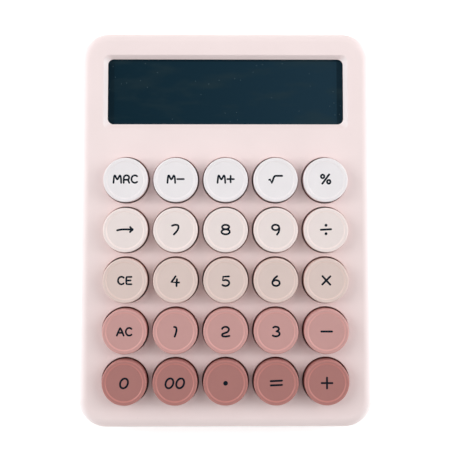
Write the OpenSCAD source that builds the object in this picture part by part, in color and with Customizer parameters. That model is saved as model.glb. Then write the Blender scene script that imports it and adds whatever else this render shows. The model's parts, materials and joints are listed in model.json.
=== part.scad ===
// Desk calculator: a wedge-shaped case, a display window and twenty-five round sprung keys.
// +X is right, +Y is the display end and +Z is up. The origin is on the resting plane,
// below the middle of the body. Everything that follows the sloping deck is drawn flat, with
// z = 0 on the deck's surface, and is then laid on the slope by on_deck().

/* [Body] */
// Width of the body
body_w = 130; // [128:1:140]
// Length of the body along its deck
body_l = 175; // [174:1:185]
// Radius of the four corners, seen from above
corner_r = 12.5; // [11:0.5:14]
// Rounding of the deck's outer edge
edge_r = 4.5; // [3:0.5:5]
// Slope of the deck, rising toward the display end
deck_tilt = 4; // [3:0.5:5]
// Depth of the front wall, from the deck down to the underside
front_h = 15; // [15:0.5:18]
// Depth of the top case's skirt, down to the parting line
skirt_h = 11; // [10.5:0.5:12]
// Thickness of the walls and of the floor
wall_t = 2; // [1.8:0.1:2.2]
// Thickness of the deck
deck_t = 2.2; // [2.1:0.1:2.3]

/* [Keys] */
// Distance between neighbouring key centres
key_pitch = 22; // [21.8:0.1:22.4]
// Middle row's place along the deck, from the body's centre
keypad_y = -22.8; // [-23.2:0.1:-22.4]
// Diameter of a key hole
hole_d = 20.5; // [20.3:0.1:20.7]
// Diameter of a keycap
cap_d = 19.5; // [19.2:0.1:19.8]
// Height of a keycap above the deck
cap_rise = 6; // [4:0.5:7]
// Diameter of the sunk face on a keycap
face_d = 15.9; // [14:0.1:16.5]
// Depth of the sunk face below the rim
face_sink = 0.25; // [0.1:0.05:0.4]
// How far a key travels
key_travel = 2.5; // [1.5:0.1:2.6]

/* [Display] */
// Width of the window opening
window_w = 105.8; // [100:0.1:108]
// Length of the window opening along the deck
window_l = 29.4; // [28:0.1:30]
// Window centre along the deck, from the body's centre
window_y = 61.1; // [60.8:0.1:61.4]
// Corner radius of the window
window_r = 2.6; // [1.5:0.1:4]
// Width of the bevel at the window's sides and rear
bevel_run = 1.8; // [1:0.1:2]
// Width of the bevel along the window's front
bevel_front = 2.9; // [1:0.1:3]
// Thickness of the window
lens_t = 1.5; // [1.2:0.1:1.6]

/* [Battery] */
// Diameter of the cell
cell_d = 10.5; // [10:0.1:10.5]
// Length of the cell without its button
cell_l = 43.5; // [42:0.5:43.5]
// Width of the battery cover
cover_w = 56; // [54:1:60]

/* [Feet] */
// Diameter of a rubber foot
foot_d = 10; // [8:0.5:11]
// Height of a foot below the underside
foot_h = 1.5; // [1.5:0.1:2]

/* [Hidden] */
$fn = 64;
EPS = 0.01;          // overlap that keeps cuts clean
FIT = 0.1;           // clearance of a sliding or nesting fit
FAR = 400;           // larger than the whole object

// Where the deck's centre lies: the slope and the front wall fix its height, and the
// rearmost and foremost points of the leaning walls lie equally far from the origin.
deck_z = foot_h + body_l / 2 * sin(deck_tilt) + front_h * cos(deck_tilt);
rear_h = (deck_z - foot_h + body_l / 2 * sin(deck_tilt)) / cos(deck_tilt);
deck_y = -(rear_h + edge_r) * sin(deck_tilt) / 2;
floor_z = foot_h + wall_t;

// Heights below the deck's surface
tape_z = -deck_t;
tape_t = 0.15;
lens_z = tape_z - tape_t;
lens_frame = 1.2;
cell_glass_t = 0.7;
film_t = 0.2;
film_z = lens_z - lens_t - 0.4;
glass_z = film_z - film_t;
glass_low_z = glass_z - 2 * cell_glass_t;
holder_top_z = film_z + FIT;
holder_ledge_z = glass_low_z - film_t;
holder_t = 1.1;
board_z = -8.8;
board_t = 1.6;
mat_t = 1;
mat_z = board_z + mat_t;

// Keys
COLS = 5;
ROWS = 5;
KEYS = [
    ["key_mrc", "key_m_minus", "key_m_plus", "key_sqrt", "key_percent"],
    ["key_arrow", "key_7", "key_8", "key_9", "key_divide"],
    ["key_ce", "key_4", "key_5", "key_6", "key_multiply"],
    ["key_ac", "key_1", "key_2", "key_3", "key_minus"],
    ["key_0", "key_00", "key_point", "key_equals", "key_plus"]
];
ROW_COLORS = ["#f4eff3", "#f6e6e0", "#e2cabe", "#c9948f", "#ab7068"];
cap_wall = 1.4;
cap_chamfer = 0.5;
rim_bevel = 0.35;
ear_t = 1.2;
collar_wall = 0.6;
collar_h = key_travel + ear_t + 0.3;
ear_w = 4;
ear_reach = 12.2;
ear_angle = 45;
ear_z = -deck_t - ear_t - 0.05;
post_r = 2;
dome_top_z = -3.66;
post_z = dome_top_z + 0.05;
dome_base_r = 5.4;
dome_top_r = 2.9;
dome_wall = 0.7;
pill_r = 1.8;
pill_t = 0.6;

// Screws and their posts
case_posts = [for (p = [[55.7, -78.7], [57, 37.5], [55.7, 78.7]], s = [-1, 1]) [s * p[0], p[1]]];
board_posts = [
    [-1.5 * key_pitch, keypad_y + 1.5 * key_pitch],
    [1.5 * key_pitch, keypad_y + 1.5 * key_pitch],
    [-1.5 * key_pitch, keypad_y - 1.5 * key_pitch],
    [1.5 * key_pitch, keypad_y - 1.5 * key_pitch],
    [-30, 37.8],
    [30, 37.8]
];
holder_posts = [[-57.9, 61], [57.9, 61]];
case_post_r = 2.8;
case_pilot_r = 1.15;
case_shank_r = 1.1;
case_head_r = 2.2;
case_head_t = 1.6;
case_web = 2;
board_post_r = 2.5;
board_pilot_r = 0.95;
board_shank_r = 0.9;
board_head_r = 2;
board_head_t = 1.2;
holder_tab_z = -5.4;

// Display cell
glass_w = 104;
glass_l = 33;
ledge_l = 2.6;
film_w = 100;
film_l = 28.8;
film_y = window_y + 0.9;
zebra_w = 90;
zebra_t = 1.6;
zebra_y = window_y - glass_l / 2 + 1.3;
holder_w = 109;
holder_l = 37;

// Battery bay, in the frame of the underside
bay_y = 78;
bay_w = 50;
bay_l = 12.7;
bay_wall = 1.5;
bay_roof_z = floor_z + cell_d + 0.8;
cell_z = floor_z + 0.4 + cell_d / 2;
nub_r = 1.9;
nub_h = 1;
plate_t = 0.4;
cell_x = (bay_w - cell_l) / 2 - plate_t - 2 * FIT - nub_h;
cover_front_y = bay_y - bay_l / 2 - bay_wall;
cover_rear_y = deck_y + body_l / 2 * cos(deck_tilt) + rear_h * sin(deck_tilt) - 0.3;
tongue_w = 1.4;
tongue_t = 0.8;
tongue_z = foot_h + 0.6;
plate_w = 8;
plate_top_z = bay_roof_z + 3;
tab_w = 3;
lead_r = 0.6;
foot_x = 50;
foot_y_front = -66;
foot_y_rear = 66;
foot_sink = 0.4;

// Spring and leads
spring_wire_r = 0.3;
spring_turns = 4;
spring_r = 3.2;
spring_steps = 14;
tube_sides = 8;
LEAD_ROUTE = [
    [0, 0, 0], [0, -3, 0.8], [0.5, -8, 1], [2, -14, 0.2], [4, -20, -1.4], [6, -25, -2.4], [7, -28.5, -2.5]
];

// ---- Helpers ----

module on_deck() {
    translate([0, deck_y, deck_z]) rotate([deck_tilt, 0, 0]) children();
}

module rounded_rect(w, l, r) {
    square([w - 2 * r, l], center = true);
    square([w, l - 2 * r], center = true);
    for (sx = [-1, 1], sy = [-1, 1])
        translate([sx * (w / 2 - r), sy * (l / 2 - r)]) circle(r);
}

// A plate with rounded corners between two heights
module slab(w, l, r, z0, z1) {
    translate([0, 0, z0]) linear_extrude(z1 - z0) rounded_rect(w, l, r);
}

module drum(r, z0, z1) {
    translate([0, 0, z0]) cylinder(r = r, h = z1 - z0);
}

module block(w, l, z0, z1) {
    translate([-w / 2, -l / 2, z0]) cube([w, l, z1 - z0]);
}

module at_each(places) {
    for (p = places) translate([p[0], p[1], 0]) children();
}

module at_key(row, col) {
    translate([(col - (COLS - 1) / 2) * key_pitch, keypad_y + ((ROWS - 1) / 2 - row) * key_pitch, 0])
        children();
}

module at_every_key() {
    for (row = [0 : ROWS - 1], col = [0 : COLS - 1]) at_key(row, col) children();
}

module above(z) {
    translate([-FAR / 2, -FAR / 2, z]) cube(FAR);
}

// The points of one ring across a path, square to its direction and started from a side of it
function ring(p, dir, aside, r) =
    let (
        side = cross(dir, aside),
        u = side / norm(side),
        v = cross(dir, u) / norm(dir)
    )
    [for (k = [0 : tube_sides - 1]) p + r * (cos(360 * k / tube_sides) * u + sin(360 * k / tube_sides) * v)];

// A closed round wire along a path that never runs along the direction aside
module wire(path, r, aside) {
    n = len(path);
    dirs = [for (i = [0 : n - 1]) path[min(i + 1, n - 1)] - path[max(i - 1, 0)]];
    points = [for (i = [0 : n - 1]) each ring(path[i], dirs[i], aside, r)];
    sides = [
        for (i = [0 : n - 2], k = [0 : tube_sides - 1])
            let (a = i * tube_sides, b = a + tube_sides, m = (k + 1) % tube_sides)
            [a + k, b + k, b + m, a + m]
    ];
    first = [for (k = [0 : tube_sides - 1]) k];
    last = [for (k = [tube_sides - 1 : -1 : 0]) (n - 1) * tube_sides + k];
    polyhedron(points, concat(sides, [first, last]));
}

// ---- Case ----

// The body's outer form down to a depth, with the rounded edge round the deck
module body_form(depth) {
    steps = 5;
    hull() {
        slab(body_w, body_l, corner_r, -depth, -edge_r, $fn = 32);
        for (i = [1 : steps]) {
            a = 90 * i / steps;
            inset = edge_r * (1 - cos(a));
            top = edge_r * (sin(a) - 1);
            slab(body_w - 2 * inset, body_l - 2 * inset, corner_r - inset, top - EPS, top, $fn = 32);
        }
    }
}

// The inside of both halves, drawn in by a wall's thickness
module hollow(wall, z0, z1) {
    slab(body_w - 2 * wall, body_l - 2 * wall, corner_r - wall, z0, z1);
}

// The window's opening: a short upright land at the foot of a bevel that is wider at the front
module window_opening() {
    land_h = 0.2;
    step = 0.1;
    over = 0.5;
    low = land_h - deck_t;
    grow = 1 + over / -low;
    side = bevel_run * grow;
    front = bevel_front * grow;
    translate([0, window_y, 0]) {
        slab(window_w, window_l, window_r, -deck_t - over, low + EPS);
        hull() {
            slab(window_w + 2 * step, window_l + 2 * step, window_r + step, low, low + EPS, $fn = 32);
            translate([0, (side - front) / 2, 0])
                slab(window_w + 2 * side, window_l + side + front, window_r + side,
                     over, over + EPS, $fn = 32);
        }
    }
}

module key_guide() {
    difference() {
        drum(hole_d / 2 + collar_wall, -deck_t - collar_h, -deck_t + EPS);
        rotate([0, 0, ear_angle])
            block(2 * ear_reach + 1, ear_w + 0.4, -deck_t - collar_h - EPS, -deck_t);
    }
}

module top_case() {
    color("#f3e4e2") on_deck() difference() {
        union() {
            difference() {
                body_form(skirt_h);
                hollow(wall_t, -skirt_h - EPS, -edge_r);
                hollow(2 * wall_t, -edge_r - EPS, -deck_t);
            }
            at_every_key() key_guide();
            at_each(case_posts) drum(case_post_r, -skirt_h, -deck_t + EPS);
            at_each(board_posts) drum(board_post_r, board_z, -deck_t + EPS);
            at_each(holder_posts) drum(board_post_r, holder_tab_z, -deck_t + EPS);
        }
        at_every_key() drum(hole_d / 2, -deck_t - collar_h - EPS, EPS);
        window_opening();
        at_each(case_posts) drum(case_pilot_r, -skirt_h - EPS, -deck_t - 2);
        at_each(board_posts) drum(board_pilot_r, board_z - EPS, -deck_t - 0.6);
        at_each(holder_posts) drum(board_pilot_r, holder_tab_z - EPS, -deck_t - 0.4);
    }
}

// The wedge between the parting line and a level plane
module wedge(wall, level) {
    intersection() {
        on_deck() hollow(wall, -2 * rear_h, -skirt_h);
        above(level);
    }
}

module case_boss() {
    drum(case_post_r + 0.8, -2 * rear_h, -skirt_h - EPS);
}

module battery_bay_walls() {
    translate([0, bay_y, 0])
        block(bay_w + 2 * bay_wall, bay_l + 2 * bay_wall, foot_h, bay_roof_z + bay_wall);
}

module battery_bay_space() {
    translate([0, bay_y, 0]) block(bay_w, bay_l, foot_h - EPS, bay_roof_z);
    for (s = [-1, 1])
        translate([s * (bay_w / 2 - plate_t), bay_y, 0])
            block(4 * plate_t, tab_w + 1, bay_roof_z - EPS, bay_roof_z + bay_wall + EPS);
}

module bottom_case() {
    lip_h = 1.5;
    lip_t = 1;
    color("#efdfdc") difference() {
        union() {
            difference() {
                wedge(0, foot_h);
                wedge(wall_t, floor_z);
            }
            on_deck() difference() {
                union() {
                    hollow(wall_t + FIT, -skirt_h - EPS, -skirt_h + lip_h);
                    hollow(wall_t - 0.5, -skirt_h - lip_h, -skirt_h);
                }
                hollow(wall_t + FIT + lip_t, -skirt_h - lip_h - EPS, -skirt_h + lip_h + EPS);
            }
            intersection() {
                on_deck() at_each(case_posts) case_boss();
                wedge(0.5, foot_h + 0.5);
            }
            battery_bay_walls();
        }
        battery_bay_space();
        // notch for the cover, open at the rear, with a groove along each side
        translate([-cover_w / 2 - FIT, cover_front_y - FIT, 0])
            cube([cover_w + 2 * FIT, FAR, floor_z + FIT]);
        for (s = [-1, 1])
            translate([s * (cover_w / 2 + tongue_w / 2), cover_front_y - FIT, tongue_z - FIT])
                translate([-tongue_w / 2 - FIT, 0, 0]) cube([tongue_w + 2 * FIT, FAR, tongue_t + 2 * FIT]);
        on_deck() at_each(case_posts) {
            drum(case_shank_r + 0.3, -2 * rear_h, 0);
            drum(case_head_r + 0.3, -2 * rear_h, -skirt_h - case_web);
        }
        for (x = [-foot_x, foot_x], y = [foot_y_front, foot_y_rear])
            translate([x, y, 0]) drum(foot_d / 2 + FIT, foot_h - EPS, foot_h + foot_sink);
    }
}

module battery_cover() {
    groove = 0.5;
    grip_w = 18;
    grip_l = 1;
    grip_pitch = 2;
    grips = 5;
    first_grip = 4;
    color("#efdfdc") difference() {
        union() {
            translate([-cover_w / 2, cover_front_y, foot_h])
                cube([cover_w, cover_rear_y - cover_front_y, wall_t]);
            for (s = [-1, 1])
                translate([s * (cover_w + tongue_w) / 2, (cover_front_y + cover_rear_y) / 2, 0])
                    block(tongue_w + EPS, cover_rear_y - cover_front_y, tongue_z, tongue_z + tongue_t);
        }
        for (i = [0 : grips - 1])
            translate([0, cover_rear_y - first_grip - i * grip_pitch, 0])
                block(grip_w, grip_l, foot_h - EPS, foot_h + groove);
    }
}

module case_screws() {
    color("silver") on_deck() at_each(case_posts) difference() {
        union() {
            drum(case_shank_r, -skirt_h - case_web - case_head_t / 2, -deck_t - 3);
            drum(case_head_r, -skirt_h - case_web - case_head_t, -skirt_h - case_web - 0.02);
        }
        rotate([0, 0, 30]) block(0.6, 3, -skirt_h - case_web - case_head_t - EPS, -skirt_h - case_web - 0.9);
        rotate([0, 0, 120]) block(0.6, 3, -skirt_h - case_web - case_head_t - EPS, -skirt_h - case_web - 0.9);
    }
}

module rubber_feet() {
    color("#3a3638") for (x = [-foot_x, foot_x], y = [foot_y_front, foot_y_rear])
        translate([x, y, 0]) drum(foot_d / 2, 0, foot_h + foot_sink - EPS);
}

// ---- Keys ----

module keycap(row, col) {
    low = ear_z;
    r = cap_d / 2;
    fr = face_d / 2;
    color(ROW_COLORS[row]) on_deck() at_key(row, col) {
        difference() {
            rotate_extrude()
                polygon([
                    [0, low], [r, low], [r, cap_rise - cap_chamfer], [r - cap_chamfer, cap_rise],
                    [fr + rim_bevel, cap_rise], [fr, cap_rise - face_sink], [0, cap_rise - face_sink]
                ]);
            drum(r - cap_wall, low - EPS, cap_rise - cap_wall);
        }
        drum(post_r, post_z, cap_rise - cap_wall + EPS);
        rotate([0, 0, ear_angle]) for (s = [-1, 1])
            translate([s * (ear_reach + r - cap_wall / 2) / 2, 0, 0])
                block(ear_reach - r + cap_wall / 2, ear_w, ear_z, ear_z + ear_t);
    }
}

module dome_form(shrink, low) {
    translate([0, 0, low])
        cylinder(r1 = dome_base_r - shrink, r2 = dome_top_r - shrink, h = dome_top_z - shrink - low);
}

module dome_mat() {
    pad_y = keypad_y;
    margin = 1.5;
    color("#d8d6d2") on_deck() difference() {
        union() {
            translate([0, pad_y, 0])
                slab(COLS * key_pitch + margin, ROWS * key_pitch + margin, 3, board_z, mat_z);
            at_every_key() dome_form(0, mat_z - EPS);
        }
        at_every_key() dome_form(dome_wall, board_z - EPS);
        at_each(case_posts) drum(case_post_r + 0.8, board_z - EPS, mat_z + EPS);
        at_each(board_posts) drum(board_post_r + 0.4, board_z - EPS, mat_z + EPS);
    }
}

module contact_pills() {
    top = dome_top_z - dome_wall - 0.02;
    color("#26262a") on_deck() at_every_key() drum(pill_r, top - pill_t, top);
}

// ---- Board ----

module main_board() {
    w = 116;
    front = -80;
    rear = 49;
    color("#2f6b4a") on_deck() difference() {
        translate([0, (front + rear) / 2, 0]) slab(w, rear - front, 3, board_z - board_t, board_z);
        at_each(case_posts) drum(case_post_r + 1, board_z - board_t - EPS, board_z + EPS);
        at_each(board_posts) drum(board_shank_r + 0.3, board_z - board_t - EPS, board_z + EPS);
    }
}

module contact_pads() {
    pad_r = 2.6;
    pad_t = 0.05;
    gap = 0.5;
    color("#c9a24a") on_deck() at_every_key() difference() {
        drum(pad_r, board_z, board_z + pad_t);
        block(gap, 3 * pad_r, board_z - EPS, board_z + pad_t + EPS);
    }
}

module board_screws() {
    under = board_z - board_t;
    color("silver") on_deck() at_each(board_posts) difference() {
        union() {
            drum(board_shank_r, under - board_head_t / 2, board_z + 4.5);
            drum(board_head_r, under - board_head_t, under - 0.02);
        }
        rotate([0, 0, 45]) block(0.5, 2.4, under - board_head_t - EPS, under - 0.6);
        rotate([0, 0, -45]) block(0.5, 2.4, under - board_head_t - EPS, under - 0.6);
    }
}

module sealed_chip() {
    chip_r = 7;
    chip_h = 1.4;
    chip_y = 20;
    under = board_z - board_t;
    color("#17171a") on_deck() translate([0, chip_y, 0]) rotate_extrude()
        polygon([
            [0, under], [chip_r, under], [chip_r - 1, under - chip_h / 2],
            [chip_r - 3, under - chip_h], [0, under - chip_h]
        ]);
}

module chip_capacitors() {
    under = board_z - board_t;
    places = [[-14, 24], [-14, 20], [-14, 16], [14, 22], [14, 17]];
    size = [2, 1.25, 1];
    color("#b59a78") on_deck() at_each(places)
        block(size[0], size[1], under - size[2], under);
}

module storage_capacitor() {
    under = board_z - board_t;
    can_r = 2.5;
    can_h = 5.2;
    leg_r = 0.25;
    leg_h = 0.3;
    color("#2a2f45") on_deck() translate([44, 42, 0]) {
        drum(can_r, under - leg_h - can_h, under - leg_h);
        for (s = [-1, 1]) translate([s, 0, 0]) drum(leg_r, under - leg_h - 0.1, under);
    }
}

// ---- Display ----

module lens_slab(z0, z1) {
    translate([0, window_y, 0])
        slab(window_w + 2 * lens_frame, window_l + 2 * lens_frame, window_r + 0.5, z0, z1);
}

module display_window() {
    color("#173040") on_deck() lens_slab(lens_z - lens_t, lens_z);
}

module window_tape() {
    color("#2b2b2e") on_deck() difference() {
        lens_slab(lens_z + EPS, tape_z - EPS);
        translate([0, window_y, 0]) slab(window_w + 0.4, window_l + 0.4, window_r, lens_z, tape_z);
    }
}

module front_glass() {
    color("#8fa6a8") on_deck() translate([0, window_y, 0])
        block(glass_w, glass_l, glass_z - cell_glass_t, glass_z - EPS);
}

module rear_glass() {
    color("#8fa6a8") on_deck() translate([0, window_y + ledge_l / 2, 0])
        block(glass_w, glass_l - ledge_l, glass_low_z, glass_z - cell_glass_t - EPS);
}

module front_polariser() {
    color("#3d4f52") on_deck() translate([0, film_y, 0]) block(film_w, film_l, glass_z, film_z);
}

module reflector() {
    color("#9aa39c") on_deck() translate([0, film_y, 0])
        block(film_w, film_l, glass_low_z - film_t, glass_low_z - EPS);
}

module connector_strip() {
    color("#d98a8a") on_deck() translate([0, zebra_y, 0])
        block(zebra_w, zebra_t, board_z + EPS, glass_z - cell_glass_t - EPS);
}

module display_holder() {
    seat = 3;
    low = holder_ledge_z - holder_t;
    color("#e9e7e4") on_deck() difference() {
        union() {
            translate([0, window_y, 0]) slab(holder_w, holder_l, 2, low, holder_top_z);
            at_each(holder_posts) drum(board_post_r, holder_tab_z - holder_t, holder_tab_z - EPS);
            for (s = [-1, 1]) translate([s * (holder_w / 2 + 1), window_y, 0])
                block(4, 2 * board_post_r, holder_tab_z - holder_t, holder_tab_z - EPS);
        }
        translate([0, window_y, 0]) block(glass_w + 2 * FIT, glass_l + 2 * FIT, holder_ledge_z - FIT, 0);
        translate([0, window_y - seat / 2, 0])
            block(glass_w - 2 * seat, glass_l - seat, low - EPS, holder_ledge_z);
        at_each(case_posts) drum(case_post_r + 0.4, low - EPS, 0);
        at_each(holder_posts) drum(board_shank_r + 0.3, low - EPS, 0);
    }
}

module holder_screws() {
    under = holder_tab_z - holder_t;
    color("silver") on_deck() at_each(holder_posts) {
        drum(board_shank_r, under - board_head_t / 2, -deck_t - 0.8);
        drum(board_head_r, under - board_head_t, under - 0.02);
    }
}

// ---- Battery ----

module battery() {
    color("#3c5f8a") translate([cell_x, bay_y, cell_z]) rotate([0, 90, 0]) {
        drum(cell_d / 2, -cell_l / 2, cell_l / 2);
        drum(nub_r, cell_l / 2 - EPS, cell_l / 2 + nub_h);
    }
}

module battery_plate() {
    face_x = bay_w / 2 - plate_t - FIT;
    color("silver") translate([face_x + plate_t / 2, bay_y, 0]) {
        block(plate_t, plate_w, cell_z - plate_w / 2, cell_z + plate_w / 2);
        block(plate_t, tab_w, cell_z, plate_top_z);
    }
}

// A closed turn at each end and open turns between
module battery_spring() {
    start_x = -bay_w / 2 + FIT + plate_t;
    end_x = cell_x - cell_l / 2 - spring_wire_r - 0.05;
    first_x = start_x + spring_wire_r - 0.1;
    count = spring_turns * spring_steps;
    path = [
        for (i = [0 : count])
            [
                first_x + (end_x - first_x) * i / count,
                bay_y + spring_r * (1 - 0.4 * i / count) * cos(360 * i / spring_steps),
                cell_z + spring_r * (1 - 0.4 * i / count) * sin(360 * i / spring_steps)
            ]
    ];
    color("silver") {
        wire(path, spring_wire_r, [1, 0, 0]);
        translate([start_x - plate_t / 2, bay_y, 0]) {
            block(plate_t, plate_w, cell_z - plate_w / 2, cell_z + plate_w / 2);
            block(plate_t, tab_w, cell_z, plate_top_z);
        }
    }
}

module lead(side) {
    start = [side * (bay_w / 2 - 0.3), bay_y - tab_w / 2 - lead_r - 0.1, plate_top_z - lead_r];
    wire([for (p = LEAD_ROUTE) start + [-side * p[0], p[1], p[2]]], lead_r, [0, 0, 1]);
}

module red_lead() { color("#b3322c") lead(1); }

module black_lead() { color("#1c1c1e") lead(-1); }

// ---- Drawing ----

top_case();
bottom_case();
battery_cover();
display_window();
window_tape();
for (row = [0 : ROWS - 1], col = [0 : COLS - 1])
    keycap(row, col);
dome_mat();
contact_pills();
contact_pads();
main_board();
board_screws();
sealed_chip();
chip_capacitors();
storage_capacitor();
front_glass();
rear_glass();
front_polariser();
reflector();
connector_strip();
display_holder();
holder_screws();
battery();
battery_spring();
battery_plate();
red_lead();
black_lead();
case_screws();
rubber_feet();
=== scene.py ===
# %% [markdown]
# # A desk calculator with twenty-five round keys
# The designed parts come in as a fixed frame, in metres, with +X to the right, +Y toward the
# display and +Z up. Their places are right but their forms are plain. Each visible piece is
# modelled again here around the frame, and it moves with the body it belongs to.

# %% Load the frame
import bmesh
import bpy
import json
from math import atan2, cos, pi, radians, sin
from mathutils import Matrix, Vector

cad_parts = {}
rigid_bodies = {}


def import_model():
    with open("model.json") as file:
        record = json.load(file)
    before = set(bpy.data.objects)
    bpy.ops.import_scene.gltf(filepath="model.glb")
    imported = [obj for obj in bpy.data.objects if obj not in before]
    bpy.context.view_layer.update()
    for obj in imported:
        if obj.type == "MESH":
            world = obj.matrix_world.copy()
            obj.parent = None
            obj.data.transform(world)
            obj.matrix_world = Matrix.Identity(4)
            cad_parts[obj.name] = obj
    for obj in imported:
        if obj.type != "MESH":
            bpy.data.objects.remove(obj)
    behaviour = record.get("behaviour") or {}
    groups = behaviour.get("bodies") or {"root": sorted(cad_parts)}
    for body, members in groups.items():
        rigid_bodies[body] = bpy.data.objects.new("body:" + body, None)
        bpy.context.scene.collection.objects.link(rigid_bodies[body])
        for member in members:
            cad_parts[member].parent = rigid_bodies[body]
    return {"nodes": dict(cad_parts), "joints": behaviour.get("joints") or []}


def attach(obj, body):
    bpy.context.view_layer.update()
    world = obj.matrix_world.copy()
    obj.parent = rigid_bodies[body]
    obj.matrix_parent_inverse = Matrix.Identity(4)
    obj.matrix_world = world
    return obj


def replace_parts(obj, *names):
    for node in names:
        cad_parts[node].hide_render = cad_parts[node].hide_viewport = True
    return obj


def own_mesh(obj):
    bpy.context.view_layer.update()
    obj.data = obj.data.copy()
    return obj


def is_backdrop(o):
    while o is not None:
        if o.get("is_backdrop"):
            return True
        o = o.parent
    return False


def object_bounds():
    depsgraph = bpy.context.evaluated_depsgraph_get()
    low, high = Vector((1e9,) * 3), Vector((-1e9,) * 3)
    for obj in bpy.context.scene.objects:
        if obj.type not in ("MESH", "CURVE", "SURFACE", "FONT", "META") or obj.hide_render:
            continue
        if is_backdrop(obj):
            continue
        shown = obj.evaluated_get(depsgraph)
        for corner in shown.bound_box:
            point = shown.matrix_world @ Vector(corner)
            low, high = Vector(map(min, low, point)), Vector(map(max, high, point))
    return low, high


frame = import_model()
nodes = frame["nodes"]
joints = {joint["child"]: joint for joint in frame["joints"]}
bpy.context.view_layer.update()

# %% [markdown]
# ## The sloping deck
# The deck rises toward the display, and the keys travel square to it. Everything on it is easier
# to draw flat, with z = 0 on the deck's surface, and to lay on the slope when it is finished.
# The slope comes from the direction in which a key is pressed, so the two always agree.

# %% Lay pieces on the deck
mm = 0.001
body_w = 130 * mm
body_l = 175 * mm
corner_r = 12.5 * mm
edge_r = 4.5 * mm
front_h = 15 * mm
foot_h = 1.5 * mm
press = Vector(joints["key_5"]["axis"])
tilt = atan2(press.y, -press.z)
deck_z = foot_h + body_l / 2 * sin(tilt) + front_h * cos(tilt)
rear_h = (deck_z - foot_h + body_l / 2 * sin(tilt)) / cos(tilt)
deck_y = -(rear_h + edge_r) * sin(tilt) / 2
deck = Matrix.Translation((0, deck_y, deck_z)) @ Matrix.Rotation(tilt, 4, "X")


def on_deck(piece):
    """Lays a piece that was drawn flat on the slope."""
    piece.data.transform(deck)
    piece.data.update()
    return piece


print("deck: slope", round(tilt * 180 / pi, 2), "degrees, centre", round(deck_z / mm, 2), "mm up")

# %% [markdown]
# ## Camera
# The picture is taken from almost straight above the deck, from a little over 0.4 of a metre,
# so the sides of the lower keys just show. A small upward lean and a vertical shift of the lens
# keep the upright edges nearly parallel, as a product photographer would.

# %% Set the camera
camera_place = Vector((-1.9, 6.6, 427.9)) * mm
camera_turn = (3.764, -0.518, -0.008)
lens = 75.2
lens_shift = -0.174

bpy.ops.object.camera_add()
camera = bpy.context.object
camera.data.lens = lens
camera.data.shift_y = lens_shift
lean = Matrix.Identity(4)
for axis, angle in zip("XYZ", camera_turn):
    lean = Matrix.Rotation(radians(angle), 4, axis) @ lean
camera.matrix_world = deck @ Matrix.Translation(camera_place) @ lean
bpy.context.scene.camera = camera
print("camera:", [round(v / mm, 1) for v in camera.matrix_world.translation], "mm")

# %% [markdown]
# ## Working by hand, in code
# Modelling goes on in edit mode with Blender's own operators, which act on whatever is selected.
# So a few helpers make one piece active, select its faces or edges by where they lie, and close
# the edit again. An operator that was used before is easy to find in any handbook.

# %% Select by place
def only(*pieces):
    """Makes these the only selected pieces, and the first one active."""
    bpy.ops.object.select_all(action="DESELECT")
    for piece in pieces:
        piece.select_set(True)
    bpy.context.view_layer.objects.active = pieces[0]


def edit(piece, kind="FACE"):
    only(piece)
    bpy.ops.object.mode_set(mode="EDIT")
    bpy.ops.mesh.select_mode(type=kind)
    bpy.ops.mesh.select_all(action="DESELECT")


def take(piece, test, kind="FACE"):
    """Selects the faces or edges of the mesh being edited that pass a test."""
    bpy.ops.mesh.select_mode(type=kind)
    bpy.ops.mesh.select_all(action="DESELECT")
    form = bmesh.from_edit_mesh(piece.data)
    for item in (form.faces if kind == "FACE" else form.edges):
        item.select_set(bool(test(item)))
    form.select_flush_mode()
    bmesh.update_edit_mesh(piece.data)


def done():
    bpy.ops.object.mode_set(mode="OBJECT")


def named(name):
    """Names the piece just added, and puts its place and size into its mesh."""
    piece = bpy.context.object
    piece.name = name
    only(piece)
    bpy.ops.object.transform_apply(location=True, rotation=True, scale=True)
    return piece


def upright(edge):
    return abs(edge.verts[0].co.z - edge.verts[1].co.z) > 0.9 * edge.calc_length()


def apply(piece, kind, **settings):
    """Adds a modifier with its settings and applies it."""
    only(piece)
    modifier = piece.modifiers.new(kind.lower(), kind)
    for setting, value in settings.items():
        setattr(modifier, setting, value)
    bpy.ops.object.modifier_apply(modifier=modifier.name)
    return piece


def carve(piece, tool, operation="DIFFERENCE", solver="EXACT"):
    """Cuts a tool out of a piece, or melts it into the piece, and throws the tool away."""
    apply(piece, "BOOLEAN", object=tool, operation=operation, solver=solver)
    bpy.data.objects.remove(tool)
    return piece


def joined(pieces):
    only(*pieces)
    if len(pieces) > 1:
        bpy.ops.object.join()
    return pieces[0]


def copied(piece, name, place):
    """A copy with a mesh of its own, moved to its place."""
    copy = bpy.data.objects.new(name, piece.data.copy())
    bpy.context.scene.collection.objects.link(copy)
    copy.data.transform(place)
    return copy


def spread(piece, places):
    """One tool made of copies of a piece, at (x, y) places."""
    copies = [copied(piece, piece.name, Matrix.Translation((x, y, 0))) for x, y in places]
    bpy.data.objects.remove(piece)
    return joined(copies)


def smoothed(piece, angle=35):
    """Shades curves smooth and keeps flat faces flat."""
    only(piece)
    bpy.ops.object.shade_smooth_by_angle(angle=radians(angle))
    return apply(piece, "WEIGHTED_NORMAL", keep_sharp=True)


# %% [markdown]
# ## Two starting shapes
# Nearly everything here is a plate with rounded corners or a turned, round piece. The plate starts
# as a cube whose four upright edges are bevelled. The turned piece starts as a disc that is
# extruded and widened ring after ring, which follows an outline as a lathe does, and it can
# fold back inside itself to make a hollow cap in one go.

# %% Plates and turned pieces
def slab(name, width, length, corner, low, high, segments=12):
    bpy.ops.mesh.primitive_cube_add(
        size=1, location=(0, 0, (low + high) / 2), scale=(width, length, high - low))
    piece = named(name)
    if corner:
        edit(piece, "EDGE")
        take(piece, upright, "EDGE")
        bpy.ops.mesh.bevel(offset=corner, segments=segments, affect="EDGES")
        done()
    return piece


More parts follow.
